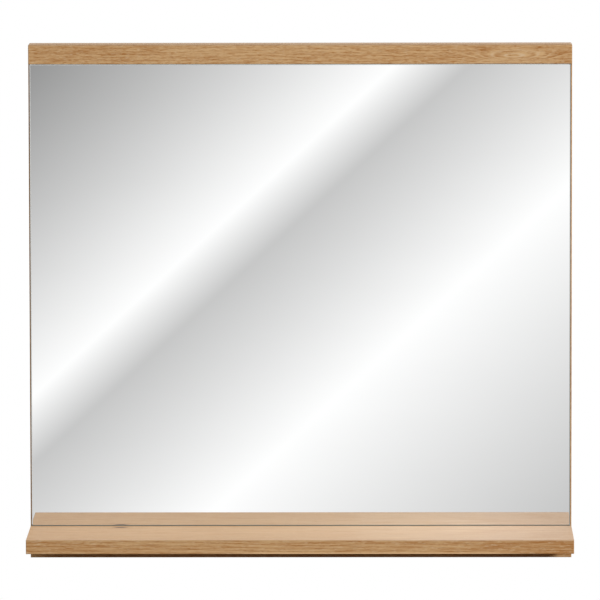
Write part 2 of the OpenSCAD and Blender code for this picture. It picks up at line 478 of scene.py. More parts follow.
def haze_and_sheen_on_top(g, node, colour, share):
    """Makes the top of a board hazy with use, and paler towards its right end with a painted sheen, as if
    light from the right fell on it; near the very end the painted sheen is held back again. The broad
    figure of the rings still shows through."""
    lo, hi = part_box(node)
    x, _, z = g.split(g.place_mm(((lo.x + hi.x) / 2, 0, hi.z)))
    # Painted sheen: paler towards the right end, as if lit from there, and held back again at the very end
    light = g.minus(g.step(x, *TOP_SHEEN_MM), g.step(x, *SHADED_END_MM, SHADED_END))
    top_colour = g.mix(light, OAK_HAZY, OAK_PAINTED_SHEEN)
    figure = g.noise(g.place_mm((lo + hi) / 2), TOP_FIGURE_SIZE_MM, detail=3.0, roughness=0.65)
    top_colour = g.mix(g.step(figure, *TOP_FIGURE_SHOWS, TOP_FIGURE_TINT), top_colour, OAK_TAN)
    return g.mix(g.step(z, *TOP_MM, share), colour, top_colour)


def dust_and_sheen_edge(g, node):
    """Where a board is dusted grey and made paler with a painted sheen: along its upper edge, and on top of
    it.
    """
    _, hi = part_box(node)
    return g.step(g.split(g.place_mm((0, 0, hi.z)))[2], *DUST_AND_SHEEN_MM)


def oak_wear(g, node, colour, roughness, top_haze_and_sheen, lower_highlight, dust_sheen):
    """Wears a board: all its edges a little. It hazes its top and paints a sheen on it, paints a highlight
    along its lower front edge, and dusts its upper edge grey with a painted sheen, as far as asked.
    """
    colour = g.mix(g.times(worn_edges(g, node), EDGE_WEAR), colour, OAK_EDGE)
    # Haze on the top, and a painted sheen towards its right end
    if top_haze_and_sheen:
        colour = haze_and_sheen_on_top(g, node, colour, top_haze_and_sheen)
    # Painted highlight along the middle of the lower front edge
    if lower_highlight:
        colour = g.mix(g.times(painted_lower_edge(g, node), lower_highlight), colour, OAK_EDGE)
    # Dust and a painted sheen along the upper edge and on top; the dust also makes it rough
    if dust_sheen:
        dust_sheen_share = g.times(dust_and_sheen_edge(g, node), dust_sheen)
        colour = g.mix(dust_sheen_share, colour, OAK_DUST_AND_SHEEN)
        roughness = g.greater(roughness, dust_sheen_share)
    return colour, roughness


def from_pith(g, v, here, pith_mm):
    """Where a point lies across the grain, seen from the pith, and how far away. Rings drift along a
    board, because no tree is quite straight."""
    _, y, z = g.split(v)
    across = g.join(0.0, g.minus(y, pith_mm[0]), g.minus(z, pith_mm[1]))
    drift = g.span(g.noise(here, DRIFT_SIZE_MM, detail=1.0), 0, 1, -DRIFT_MM, DRIFT_MM)
    return across, g.plus(g.vector("LENGTH", across), drift)


def early_wood(g, season):
    """1 in the porous wood that grows first in a ring, and 0 in the dense wood after it."""
    return g.greater(g.fade(season, *EARLY_FADES), g.step(season, *EARLY_SETS_IN))


def strand(size, grain):
    """The size along the grain and across it of a streak that has a length and a width, on a board whose
    streaks are longer and wider than usual."""
    length, width = size
    longer, wider = grain
    return (length * longer, width * wider, width * wider)


def grain_darkness(g, here, grain, early, dashed):
    """How dark the early wood, the long streaks and the short dashes make the oak."""
    streaks = g.step(g.noise(here, strand(STREAK_SIZE_MM, grain), roughness=0.6), *STREAKS_SHOW)
    dashes = g.step(g.noise(g.vector("ADD", here, DASH_SHIFT_MM), DASH_SIZE_MM, detail=1.0), *DASHES_SHOW)
    dark = g.times(g.times(early, g.span(streaks, 0, 1, EARLY_BETWEEN, 1)), EARLY_DARK)
    dark = g.plus(dark, g.times(streaks, FIGURE_DARK - dashed))
    return g.plus(dark, g.times(dashes, dashed))


def board_darkness(g, here, along, year, end_shade, tone):
    """How much darker a board is than usual, in some years, in clouds and, as painted shade, towards its
    ends.
    """
    one_year = g.add("ShaderNodeTexWhiteNoise", noise_dimensions="1D")
    g.put(g.math("FLOOR", year), one_year.inputs["W"])
    dark = g.span(one_year.outputs["Value"], 0, 1, tone - YEARS_DIFFER, tone + YEARS_DIFFER)
    # Painted shade: darker towards the left and the right end
    for end, share in zip((g.times(along, -1.0), along), end_shade):
        dark = g.plus(dark, g.step(end, *PAINTED_SHADE_ENDS_MM, share))
    clouds = g.noise(here, CLOUD_SIZE_MM)
    return g.plus(dark, g.span(clouds, *CLOUDS_SHOW, -CLOUDS_DIFFER, CLOUDS_DIFFER))


def oak_pores(g, here, grain, early):
    """The open pores, most of which lie in the early wood."""
    pores = g.step(g.noise(here, strand(PORE_SIZE_MM, grain), roughness=0.6), *PORES_SHOW)
    return g.times(pores, g.span(early, 0, 1, LATE_PORES, 1))


def oak_flecks(g, here):
    """The pale flecks of the rays."""
    return g.step(g.noise(g.vector("ADD", here, FLECK_SHIFT_MM), FLECK_SIZE_MM, detail=1.0), *FLECKS_SHOW)


def pale_outlines(g, colour, season, swell):
    """Draws a pale line along each ring where the rings swell."""
    line = g.times(g.step(season, *OUTLINE_SETS_IN), g.fade(season, *OUTLINE_FADES))
    return g.mix(g.times(line, g.times(swell, OUTLINE)), colour, OAK_RAY)


def sawn_ends(g, node, colour, v, across, radius):
    """Shows the rings, the pores of their early wood and the pale rays on the sawn ends of a board."""
    lo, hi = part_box(node)
    half_length = max(hi - lo) / 2 / MM
    end = g.step(g.math("ABSOLUTE", g.split(v)[0]), half_length - END_MM[0], half_length - END_MM[1])
    early = early_wood(g, g.math("FRACT", g.math("DIVIDE", radius, RING_MM)))
    pores = g.times(g.step(g.noise(v, END_PORE_SIZE_MM, detail=1.0), *END_PORES_SHOW), early)
    _, y, z = g.split(across)
    around = g.times(g.math("ARCTAN2", z, y), RAY_RADIUS_MM)
    rays = g.step(g.noise(g.join(radius, around, 0.0), END_RAY_SIZE_MM, detail=1.0), *END_RAYS_SHOW)
    sawn = g.mix(g.span(early, 0, 1, *END_DARK), OAK_PALE, OAK_TAN)
    sawn = g.mix(g.times(pores, END_PORE_TINT), sawn, OAK_PORE)
    sawn = g.mix(g.times(rays, END_RAY_TINT), sawn, OAK_RAY)
    return g.mix(end, colour, sawn)


def oak_knot(g, colour, near, here):
    """A dark knot with a ragged rim, in a brown halo."""
    ragged = g.plus(near, g.span(g.noise(here, KNOT_RIM_SIZE_MM), 0, 1, -KNOT_RAGGED, KNOT_RAGGED))
    colour = g.mix(g.step(near, *KNOT_HALO), colour, OAK_PORE)
    return g.mix(g.step(ragged, *KNOT_HEART), colour, OAK_KNOT)


def oak(name, node, pith_mm, turn=(0, 0, 0), seed=0.0, grain=(1.0, 1.0), dashed=0.40,
        end_shade=(0.13, 0.13), bulge=None, knot=None, tone=0.0, top_haze_and_sheen=0.0, lower_highlight=0.0, dust_sheen=0.0):
    """Solid oak, whose rings run round a pith that lies across the grain from the board's centre. turn
    lays the grain along an upright board, and seed says where in the tree the board lay. grain is how
    much longer and wider its streaks are than usual, dashed is how much of its figure is short dashes,
    oiled is how much painted shade darkens its left and right ends, and tone makes all of it darker.
    bulge is where the rings swell, and knot is where a knot is. used is how hazy its top is and how much
    painted sheen it takes on towards its right end, rub is how much of a painted highlight its lower front
    edge gets, and dust is how much its upper front edge and top are dusted grey and given a painted sheen."""
    material, g, shader = new_material(name)
    lo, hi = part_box(node)
    v = g.place_mm((lo + hi) / 2, turn)
    here = g.vector("ADD", v, tuple(seed * shift for shift in BOARD_SHIFT_MM))

    across, even_radius = from_pith(g, v, here, pith_mm)
    ripple = g.span(g.noise(here, strand(RIPPLE_SIZE_MM, grain)), 0, 1, -RIPPLE_MM, RIPPLE_MM)
    radius = g.plus(even_radius, ripple)
    if bulge:
        centre, radii, height = bulge
        swell = g.near(v, centre, radii)
        radius = g.plus(radius, g.times(swell, height))
    if knot:
        knot_near = g.near(v, *knot)
        radius = g.plus(radius, g.times(knot_near, KNOT_SWELL_MM))
    year = g.math("DIVIDE", radius, RING_MM)
    season = g.math("FRACT", year)
    early = early_wood(g, season)
    pores = oak_pores(g, here, grain, early)

    dark = grain_darkness(g, here, grain, early, dashed)
    if bulge:
        dark = g.plus(dark, g.times(swell, g.span(early, 0, 1, -BULGE_PALE, 0.0)))
    along = g.split(v)[0]
    dark = g.math("ADD", dark, board_darkness(g, here, along, year, end_shade, tone), clamp=True)
    colour = g.mix(dark, OAK_PALE, OAK_TAN)
    colour = g.mix(g.times(pores, PORE_TINT), colour, OAK_PORE)
    colour = g.mix(g.times(oak_flecks(g, here), FLECK_TINT), colour, OAK_RAY)
    if bulge:
        colour = pale_outlines(g, colour, season, swell)
    colour = sawn_ends(g, node, colour, v, across, even_radius)
    roughness = g.span(pores, 0, 1, *OAK_ROUGHNESS)
    colour, roughness = oak_wear(g, node, colour, roughness, top_haze_and_sheen, lower_highlight, dust_sheen)
    if knot:
        colour = oak_knot(g, colour, knot_near, here)

    g.put(colour, shader.inputs["Base Color"])
    g.put(roughness, shader.inputs["Roughness"])
    shader.inputs["Specular IOR Level"].default_value = OAK_GLOSS
    height = g.minus(g.times(early, -EARLY_DEPTH), pores)
    bump(g, shader, height, strength=0.35, depth_mm=PORE_DEPTH_MM)
    return material


# --- other finishes ---------------------------------------

FIBRE_PALE = srgb(196, 168, 130)
FIBRE_BROWN = srgb(168, 138, 102)
FIBRE_PATCH = srgb(158, 128, 92)
SILVER = ((0.874, 0.878, 0.877, 1), (0.892, 0.896, 0.895, 1))
GLASS_GROUND = ((0.40, 0.41, 0.40, 1), (0.50, 0.51, 0.50, 1))
# Painted light on the pane's arris: shade on the right, a highlight on the left and shade along the foot
GLASS_SHADED = (0.16, 0.17, 0.16, 1)
GLASS_PAINTED_HIGHLIGHT = (0.80, 0.80, 0.78, 1)
GLASS_FOOT_SHADE = (0.20, 0.31, 0.38, 1)
PAINT = (srgb(104, 108, 110), srgb(124, 128, 130))
FOAM = (srgb(66, 66, 68), srgb(96, 96, 98))
ADHESIVE = (srgb(226, 226, 220), srgb(206, 206, 198))
BEECH = (srgb(216, 182, 144), srgb(190, 150, 112))
BEECH_FLECK = srgb(150, 108, 76)
ZINC = ((0.74, 0.75, 0.76, 1), (0.62, 0.64, 0.66, 1))

# Sizes of their patterns along the three axes. Beech has flecks as long and wide as a share of a streak.
FIBRE_SIZE_MM = (1.6, 0.5, 0.7)
PATCH_SIZE_MM = (70, 30, 45)
WIPE_SIZE_MM = (160, 40, 45)
SCRATCH_SIZE_MM = (6, 0.2, 6)
PEEL_SIZE_MM = (2.2, 2.2, 2.2)
CELL_SIZE_MM = (0.35, 0.35, 0.35)
SMEAR_SIZE_MM = (4, 2, 18)
UPRIGHT_BEECH_SIZE_MM = (0.8, 0.8, 14)
LEVEL_BEECH_SIZE_MM = (0.8, 14, 0.8)
BEECH_FLECK_SHARE = 0.35
ZINC_CLOUD_SIZE_MM = (9, 9, 9)
ZINC_LINE_SIZE_MM = (0.25, 0.25, 9)

# Where in its noise of 0 to 1, or in the sum of two, a pattern sets in and is full, and how much it tints
FIBRES_SHOW = (0.35, 0.7)
PATCHES_SHOW = (0.3, 0.7)
PATCH_TINT = 0.35
# How much painted shade darkens the pane's arris on the right and along its foot
SHADED_TINT = 0.8
FOOT_SHADE_TINT = 0.8
BEECH_FLECKS_SHOW = (0.62, 0.72)
BEECH_FLECK_TINT = 0.5
ZINC_SHOWS = (0.6, 1.4)

# Roughness, from the lowest to the highest of the pattern
FIBRE_ROUGHNESS = (0.62, 0.78)
SILVER_ROUGHNESS = (0.0, 0.004)
GROUND_ROUGHNESS = (0.3, 0.5)
BEECH_ROUGHNESS = (0.5, 0.65)
ZINC_ROUGHNESS = (0.22, 0.42)


def fibreboard():
    """Sealed fibreboard: matted short fibres, a little darker in patches."""
    material, g, shader = new_material("fibreboard")
    v = g.place_mm()
    fibres = g.step(g.noise(v, FIBRE_SIZE_MM, detail=4.0, roughness=0.65), *FIBRES_SHOW)
    patches = g.noise(v, PATCH_SIZE_MM, detail=3.0)
    colour = g.mix(fibres, FIBRE_PALE, FIBRE_BROWN)
    colour = g.mix(g.span(patches, *PATCHES_SHOW, 0, PATCH_TINT), colour, FIBRE_PATCH)
    g.put(colour, shader.inputs["Base Color"])
    g.put(g.span(fibres, 0, 1, *FIBRE_ROUGHNESS), shader.inputs["Roughness"])
    bump(g, shader, fibres, strength=0.25, depth_mm=0.08)
    return material


def silvered_face():
    """Front of the pane: silver behind clear glass, wiped clean."""
    material, g, shader = new_material("silvered_face")
    wipes = g.noise(g.place_mm(), WIPE_SIZE_MM, detail=3.0)
    g.put(g.mix(wipes, *SILVER), shader.inputs["Base Color"])
    g.put(g.span(wipes, 0, 1, *SILVER_ROUGHNESS), shader.inputs["Roughness"])
    shader.inputs["Metallic"].default_value = 1.0
    return material


def ground_edge():
    """Ground arris and edges of the pane: frosted grey glass, finely scratched along the edge. Painted
    shade makes the arris dark along the foot and on the right, and a painted highlight, shown with a metal
    gloss, makes it bright on the left."""
    material, g, shader = new_material("ground_edge")
    lo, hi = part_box("mirror_glass")
    width = (hi.x - lo.x) / MM
    v = g.place_mm(lo)
    x, y, z = g.split(v)
    scratches = g.noise(v, SCRATCH_SIZE_MM, detail=3.0, roughness=0.6)
    front = g.fade(y, ARRIS_DEPTH_MM, ARRIS_DEPTH_MM + ARRIS_BLEND_MM)
    # Painted shade along the foot and on the right, and a painted highlight, with a metal gloss, on the
    # left
    foot_shade = g.fade(z, ARRIS_MM, 2 * ARRIS_MM)
    right = g.times(front, g.step(x, width - 2 * ARRIS_MM, width - ARRIS_MM))
    left = g.times(front, g.fade(x, ARRIS_MM, 2 * ARRIS_MM))
    colour = g.mix(g.times(right, SHADED_TINT), g.mix(scratches, *GLASS_GROUND), GLASS_SHADED)
    colour = g.mix(left, colour, GLASS_PAINTED_HIGHLIGHT)
    g.put(g.mix(g.times(foot_shade, FOOT_SHADE_TINT), colour, GLASS_FOOT_SHADE), shader.inputs["Base Color"])
    g.put(left, shader.inputs["Metallic"])
    g.put(g.span(scratches, 0, 1, *GROUND_ROUGHNESS), shader.inputs["Roughness"])
    bump(g, shader, scratches, strength=0.2, depth_mm=0.03)
    return material


def mottled(name, size_mm, colours, roughness, strength, depth_mm, detail=2.0):
    """A plain finish whose colour, roughness and height all follow one fine pattern."""
    material, g, shader = new_material(name)
    pattern = g.noise(g.place_mm(), size_mm, detail)
    g.put(g.mix(pattern, *colours), shader.inputs["Base Color"])
    g.put(g.span(pattern, 0, 1, *roughness), shader.inputs["Roughness"])
    bump(g, shader, pattern, strength, depth_mm)
    return material


def back_paint():
    """Protective paint on the back of the pane: grey, with a fine orange peel."""
    return mottled("back_paint", PEEL_SIZE_MM, PAINT, roughness=(0.35, 0.5), strength=0.2, depth_mm=0.05)


def foam_tape():
    """Grey foam with fine open cells."""
    return mottled("foam_tape", CELL_SIZE_MM, FOAM, roughness=(0.75, 0.9), strength=0.5, depth_mm=0.1)


def cured_adhesive():
    """Off-white adhesive, smeared along the bead."""
    return mottled("cured_adhesive", SMEAR_SIZE_MM, ADHESIVE, roughness=(0.3, 0.5), strength=0.3,
                   depth_mm=0.2, detail=3.0)


def beech(name, streak_mm):
    """Beech of the dowels, with its short brown ray flecks. streak_mm is the size of a streak."""
    material, g, shader = new_material(name)
    v = g.place_mm()
    streaks = g.noise(v, streak_mm, detail=3.0, roughness=0.6)
    fleck_mm = tuple(size * BEECH_FLECK_SHARE for size in streak_mm)
    flecks = g.step(g.noise(v, fleck_mm, detail=1.0), *BEECH_FLECKS_SHOW)
    colour = g.mix(streaks, *BEECH)
    g.put(g.mix(g.times(flecks, BEECH_FLECK_TINT), colour, BEECH_FLECK), shader.inputs["Base Color"])
    g.put(g.span(streaks, 0, 1, *BEECH_ROUGHNESS), shader.inputs["Roughness"])
    bump(g, shader, streaks, strength=0.2, depth_mm=0.06)
    return material


def zinc_plate():
    """Bright zinc plate with the dull clouds and fine rolling lines that it has."""
    material, g, shader = new_material("zinc_plate")
    v = g.place_mm()
    clouds = g.noise(v, ZINC_CLOUD_SIZE_MM, detail=3.0)
    lines = g.noise(v, ZINC_LINE_SIZE_MM)
    g.put(g.mix(clouds, *ZINC), shader.inputs["Base Color"])
    g.put(g.span(g.plus(clouds, lines), *ZINC_SHOWS, *ZINC_ROUGHNESS), shader.inputs["Roughness"])
    shader.inputs["Metallic"].default_value = 1.0
    bump(g, shader, lines, strength=0.15, depth_mm=0.02)
    return material


# --- shapes that several pieces share ---------------------

def new_piece(name, bm, materials, slot, *nodes):
    """Makes a bmesh an object that stands for CAD nodes."""
    bmesh.ops.recalc_face_normals(bm, faces=bm.faces)
    mesh = bpy.data.meshes.new(name)
    bm.to_mesh(mesh)
    bm.free()
    mesh.shade_smooth()
    mesh.set_sharp_from_angle(angle=math.radians(SMOOTH_DEGREES))
    for material in materials:
        mesh.materials.append(material)
    piece = bpy.data.objects.new(name, mesh)
    bpy.context.scene.collection.objects.link(piece)
    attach(piece, "root")
    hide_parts(*nodes)


def places(lo, hi, radius, count):
    """Evenly spread centres between two ends, each a radius in from its end."""
    first, last = lo + radius, hi - radius
    return [first + (last - first) * i / (count - 1) for i in range(count)]


def vertices(geom):
    """The vertices among what an operator has made."""
    return [v for v in geom if isinstance(v, bmesh.types.BMVert)]


def everything(bm):
    """All that a bmesh holds."""
    return bm.verts[:] + bm.edges[:] + bm.faces[:]


def spread(bm, centres):
    """Copies what a bmesh holds, which is made at the origin, to every centre."""
    made = everything(bm)
    copies = [bmesh.ops.duplicate(bm, geom=made)["geom"] for _ in centres[1:]]
    for centre, geom in zip(centres, [made] + copies):
        bmesh.ops.translate(bm, vec=centre, verts=vertices(geom))


def level(bm, verts):
    """Turns vertices so that what was made along +Z lies along -Y, and what lay flat faces the front."""
    bmesh.ops.rotate(bm, matrix=Matrix.Rotation(math.radians(90), 3, "X"), verts=verts)


def thicken(bm, depth):
    """Gives a flat shape a depth towards the front, and returns the vertices of its new face."""
    front = vertices(bmesh.ops.extrude_face_region(bm, geom=bm.faces[:], use_keep_orig=True)["geom"])
    bmesh.ops.translate(bm, vec=(0, -depth, 0), verts=front)
    return front


def ease(bm, geom, offset, steps, affect="EDGES"):
    """Rounds edges or corners, or chamfers them in one step."""
    bmesh.ops.bevel(bm, geom=geom, offset=offset, affect=affect, segments=steps, profile=0.5, material=-1)


def square_rims(bm):
    """The edges where the flat front and back meet walls that stand square to them."""
    bm.normal_update()
    rims = []
    for edge in bm.edges:
        tilts = sorted(abs(f.normal.y) for f in edge.link_faces)
        if tilts[0] < 1 - FLAT and tilts[-1] > FLAT:
            rims.append(edge)
    return rims


# --- pane, tape and adhesive ------------------------------

def mirror_pane():
    """The pane, with a ground arris round its front, silver on its face and paint on its back."""
    lo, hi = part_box("mirror_glass")
    at_front = lo.y + SAME_SIDE
    bm = bmesh.new()
    bmesh.ops.create_cube(bm, size=1.0)
    bmesh.ops.scale(bm, vec=hi - lo, verts=bm.verts)
    bmesh.ops.translate(bm, vec=(lo + hi) / 2, verts=bm.verts)
    front = [f for f in bm.faces if f.calc_center_median().y < at_front]
    bmesh.ops.inset_region(bm, faces=front, thickness=ARRIS_MM * MM)
    rim = [v for v in bm.verts if v.co.y < at_front and v not in front[0].verts]
    bmesh.ops.translate(bm, vec=(0, ARRIS_DEPTH_MM * MM, 0), verts=rim)
    bm.normal_update()
    silver, ground, paint = range(3)
    for face in bm.faces:
        face.material_index = silver if face.normal.y < -FLAT else paint if face.normal.y > FLAT else ground
    finishes = [silvered_face(), ground_edge(), back_paint()]
    new_piece("mirror_pane", bm, finishes, "mirror", "mirror_glass")


def flat_strip(size, rows):
    """A flat strip round the origin with a width, a depth and a height, in rows from foot to top."""
    bm = bmesh.new()
    bmesh.ops.create_grid(bm, x_segments=1, y_segments=rows, size=0.5)
    level(bm, bm.verts)
    bmesh.ops.scale(bm, vec=size, verts=bm.verts)
    bmesh.ops.translate(bm, vec=(0, size.y / 2, 0), verts=bm.verts)
    thicken(bm, size.y)
    return bm


def strips(name, node, slot, bm, width, count, material):
    """Spreads a flat strip evenly along X in its node's box."""
    lo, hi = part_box(node)
    middle = (lo + hi) / 2
    spread(bm, [(x, middle.y, middle.z) for x in places(lo.x, hi.x, width / 2, count)])
    new_piece(name, bm, [material], slot, node)


def foam_tape_strips(material):
    """Foam tape under pressure: the foam bulges a little past the two films that carry its glue."""
    lo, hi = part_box("mirror_tape")
    size = Vector((TAPE_MM * MM, hi.y - lo.y, hi.z - lo.z))
    half = size.y / 2
    bm = flat_strip(size, 1)
    for share in (-TAPE_FILM, -TAPE_FOAM, TAPE_FOAM, TAPE_FILM):
        bmesh.ops.bisect_plane(bm, geom=everything(bm), plane_co=(0, share * half, 0), plane_no=(0, 1, 0))
    films = [v for v in bm.verts if abs(v.co.y) > (TAPE_FOAM + TAPE_FILM) / 2 * half]
    inwards = 2 * TAPE_BULGE_MM * MM
    bmesh.ops.scale(bm, vec=(1 - inwards / size.x, 1, 1 - inwards / size.z), verts=films)
    strips("foam_tape_strips", "mirror_tape", "tape", bm, size.x, TAPE_STRIPS, material)


def adhesive_beads(material):
    """Beads that the glass has pressed flat: their edges wander, and their sides and ends are round."""
    lo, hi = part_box("mirror_adhesive")
    size = Vector((BEAD_MM * MM, hi.y - lo.y, hi.z - lo.z))
    long_wave, short_wave = (wave * MM for wave in BEAD_WAVES_MM)
    bm = flat_strip(size, BEAD_ROWS)
    for v in bm.verts:
        wander = math.sin(v.co.z / long_wave) * math.sin(v.co.z / short_wave + BEAD_WAVE_SHIFT)
        v.co.x *= 1 - BEAD_WANDER * (1 + wander) / 2
    corners = [e for e in bm.edges if all(abs(v.co.z) > size.z / 2 - SAME_SIDE for v in e.verts)
               and abs(e.verts[0].co.y - e.verts[1].co.y) > size.y / 2]
    ease(bm, corners, BEAD_END_MM * MM, ROUND_STEPS)
    ease(bm, square_rims(bm), BEAD_ROUNDING * size.y, ROUND_STEPS // 2)
    strips("adhesive_beads", "mirror_adhesive", "adhesive", bm, size.x, BEADS, material)


# --- dowels -----------------------------------------------

def fluted_dowel(length):
    """A dowel along Z with its middle at the origin, with straight flutes and chamfered ends."""
    bm = bmesh.new()
    radius = DOWEL_MM / 2 * MM
    bmesh.ops.create_cone(bm, segments=2 * FLUTES, radius1=radius, radius2=radius, depth=length,
                          cap_ends=True)
    for v in bm.verts:
        if round(math.atan2(v.co.y, v.co.x) / (math.pi / FLUTES)) % 2:
            v.co.xy *= 1 - FLUTE_MM * MM / radius
    rims = [e for e in bm.edges if any(len(f.verts) > 4 for f in e.link_faces)]
    ease(bm, rims, DOWEL_CHAMFER_MM * MM, 1)
    return bm


def dowels(name, count, axis, material):
    """The fluted dowels of one joint, which lie evenly along X in their node's box."""
    lo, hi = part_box(name)
    centre = (lo + hi) / 2
    bm = fluted_dowel((hi - lo)["XYZ".index(axis)])
    if axis == "Y":
        level(bm, bm.verts)
    spread(bm, [(x, centre.y, centre.z) for x in places(lo.x, hi.x, DOWEL_MM / 2 * MM, count)])
    new_piece("fluted_" + name, bm, [material], "beech", name)


# --- screws -----------------------------------------------

def screw_blank(bm, size, length, thread_length):
    """Turns the head, shank and core of a screw along +Z, and returns the rim of the head's face."""
    radius = size / 2
    core, shank = SCREW_CORE * radius, SCREW_SHANK * radius
    shank_end = max(length - thread_length, SHANK_START * size)
    profile = [(HEAD_FACE * radius, 0), (HEAD_RIM * radius, HEAD_RIM_DEPTH * size),
               (shank, HEAD_DEPTH * size), (shank, shank_end), (core, shank_end + radius / 2),
               (core, length - size), (core, length), (0, length)]
    points = [bm.verts.new((r, 0, z)) for r, z in profile]
    lines = [bm.edges.new(pair) for pair in zip(points, points[1:])]
    bmesh.ops.spin(bm, geom=points + lines, cent=(0, 0, 0), axis=(0, 0, 1), angle=2 * math.pi,
                   steps=SCREW_STEPS, use_merge=True)
    bmesh.ops.remove_doubles(bm, verts=bm.verts, dist=SAME_POINT)
    return [e for e in bm.edges if all(v.co.z < SAME_POINT for v in e.verts)]


def cross_recess(bm, rim, length, width, depth):
    """Fills a screw head's face inside its rim, with a cross pressed into it that narrows downwards."""
    arm = (length - width) / 2
    cross = bmesh.ops.create_grid(bm, x_segments=1, y_segments=1, size=width / 2)["verts"]
    core = cross[0].link_faces[0]
    for edge in core.edges[:]:
        outwards = (edge.verts[0].co + edge.verts[1].co).normalized() * arm
        tip = bmesh.ops.extrude_edge_only(bm, edges=[edge])["geom"]
        bmesh.ops.translate(bm, vec=outwards, verts=vertices(tip))
    faces = [core] + [e.link_faces[0] if e.link_faces[0] != core else e.link_faces[1] for e in core.edges]
    outline = [e for f in faces for e in f.edges if len(e.link_faces) == 1]
    bottom = vertices(bmesh.ops.extrude_face_region(bm, geom=faces)["geom"])
    bmesh.ops.scale(bm, vec=(RECESS_FOOT, RECESS_FOOT, 1), verts=bottom)
    bmesh.ops.translate(bm, vec=(0, 0, depth), verts=bottom)
    bmesh.ops.delete(bm, geom=faces, context="FACES_ONLY")
    bmesh.ops.delete(bm, geom=[e for e in bm.edges if e.is_wire], context="EDGES")
    bmesh.ops.triangle_fill(bm, use_beauty=True, edges=rim + outline)


def thread(bm, core, outer, pitch, start, end):
    """A ridge that winds round a screw's core, right-handed, and grows out of it over its first turn."""
    half = THREAD_FOOT / 2 * pitch
    root = THREAD_ROOT * core
    ridge_profile = ((root, -half), (outer, 0), (root, half))
    corners = [bm.verts.new((r, 0, start + z)) for r, z in ridge_profile]
    ridge = bm.faces.new(corners)
    turns = (end - start) / pitch
    before = set(bm.verts) - set(corners)
    bmesh.ops.spin(bm, geom=corners + list(ridge.edges) + [ridge], cent=(0, 0, 0), axis=(0, 0, 1),
                   dvec=(0, 0, pitch / SCREW_STEPS), angle=2 * math.pi * turns,
                   steps=round(turns * SCREW_STEPS), use_merge=False, use_duplicate=False)
    for v in set(bm.verts) - before:
        if v.co.xy.length > core:
            rise = min(1.0, (v.co.z - start) / pitch)
            v.co.xy *= (core + (outer - core) * rise) / outer


def wood_screw(size, length, thread_length):
    """A countersunk wood screw that runs along -Y from the origin to its gimlet point."""
    bm = bmesh.new()
    rim = screw_blank(bm, size, length, thread_length)
    cross_recess(bm, rim, size, RECESS_WIDTH * size, RECESS_DEPTH * size)
    radius, pitch = size / 2, SCREW_PITCH * size
    thread(bm, SCREW_CORE * radius, SCREW_THREAD * radius, pitch, length - thread_length + pitch / 2,
           length - THREAD_STOP * pitch)
    bmesh.ops.holes_fill(bm, edges=[e for e in bm.edges if e.is_boundary], sides=3)
    for v in bm.verts:
        v.co.xy *= 1 - POINT_TAPER * max(0.0, (v.co.z - (length - size)) / size)
    level(bm, bm.verts)
    return bm


def shelf_screws(material):
    """The screws that hold the shelf from behind, in a row along X."""
    lo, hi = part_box("shelf_screws")
    size = SHELF_SCREW_MM * MM
    bm = wood_screw(size, hi.y - lo.y, SHELF_SCREW_THREAD_MM * MM)
    middle = (lo.z + hi.z) / 2
    spread(bm, [(x, hi.y, middle) for x in places(lo.x, hi.x, size, SHELF_SCREWS)])
    new_piece("threaded_shelf_screws", bm, [material], "zinc", "shelf_screws")


def hanger_screw_heights(side):
    """The heights of the screws that hold one keyhole plate."""
    lo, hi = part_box("hanger_screws_" + side)
    return places(lo.z, hi.z, HANGER_SCREW_MM * MM, HANGER_SCREWS)


def hanger_screws(side, material):
    """The screws that hold one keyhole plate, above and below its keyhole."""
    lo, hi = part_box("hanger_screws_" + side)
    bm = wood_screw(HANGER_SCREW_MM * MM, hi.y - lo.y, HANGER_SCREW_THREAD_MM * MM)
    spread(bm, [((lo.x + hi.x) / 2, hi.y, z) for z in hanger_screw_heights(side)])
    new_piece("threaded_hanger_screws_" + side, bm, [material], "zinc", "hanger_screws_" + side)


# --- keyhole plates ---------------------------------------

def arc(bm, start, centre, angle, steps):
    """Spins a point round a centre in the plane of a plate, and gives the points of the arc in order."""
    points = [bm.verts.new(start)]
    for _ in range(steps):
        made = bmesh.ops.spin(bm, geom=[points[-1]], cent=centre, axis=(0, 1, 0), angle=angle / steps,
                              steps=1, use_merge=False)
        points += vertices(made["geom_last"])
    return points


def plate_outline(bm, size, height):
    """The outline of a plate with round corners, whose middle lies at a height on the Z axis."""
    blank = bmesh.ops.create_grid(bm, x_segments=1, y_segments=1, size=0.5)["verts"]
    level(bm, blank)
    bmesh.ops.scale(bm, vec=size, verts=blank)
    bmesh.ops.translate(bm, vec=(0, 0, height), verts=blank)
    ease(bm, bm.verts[:], PLATE_CORNER_MM * MM, ROUND_STEPS, affect="VERTICES")
    bmesh.ops.delete(bm, geom=bm.faces[:], context="FACES_ONLY")


def keyhole_outline(bm):
    """The outline of a round entry about the origin and of a slot that runs up from it."""
    entry, half_slot, rise = ENTRY_MM / 2 * MM, SLOT_MM / 2 * MM, SLOT_RISE_MM * MM
    meet = math.asin(half_slot / entry)
    round_hole = arc(bm, (half_slot, 0, entry * math.cos(meet)), (0, 0, 0), 2 * (math.pi - meet),
                     ENTRY_STEPS)
    slot_end = arc(bm, (-half_slot, 0, rise), (0, 0, rise), math.pi, SLOT_STEPS)
    bm.edges.new((round_hole[-1], slot_end[0]))
    bm.edges.new((slot_end[-1], round_hole[0]))


def screw_hole_outlines(bm, radius, heights):
    """The outlines of the round mouths of a plate's screw holes."""
    for z in heights:
        hole = bmesh.ops.create_circle(bm, segments=HOLE_STEPS, radius=radius)["verts"]
        level(bm, hole)
        bmesh.ops.translate(bm, vec=(0, 0, z), verts=hole)


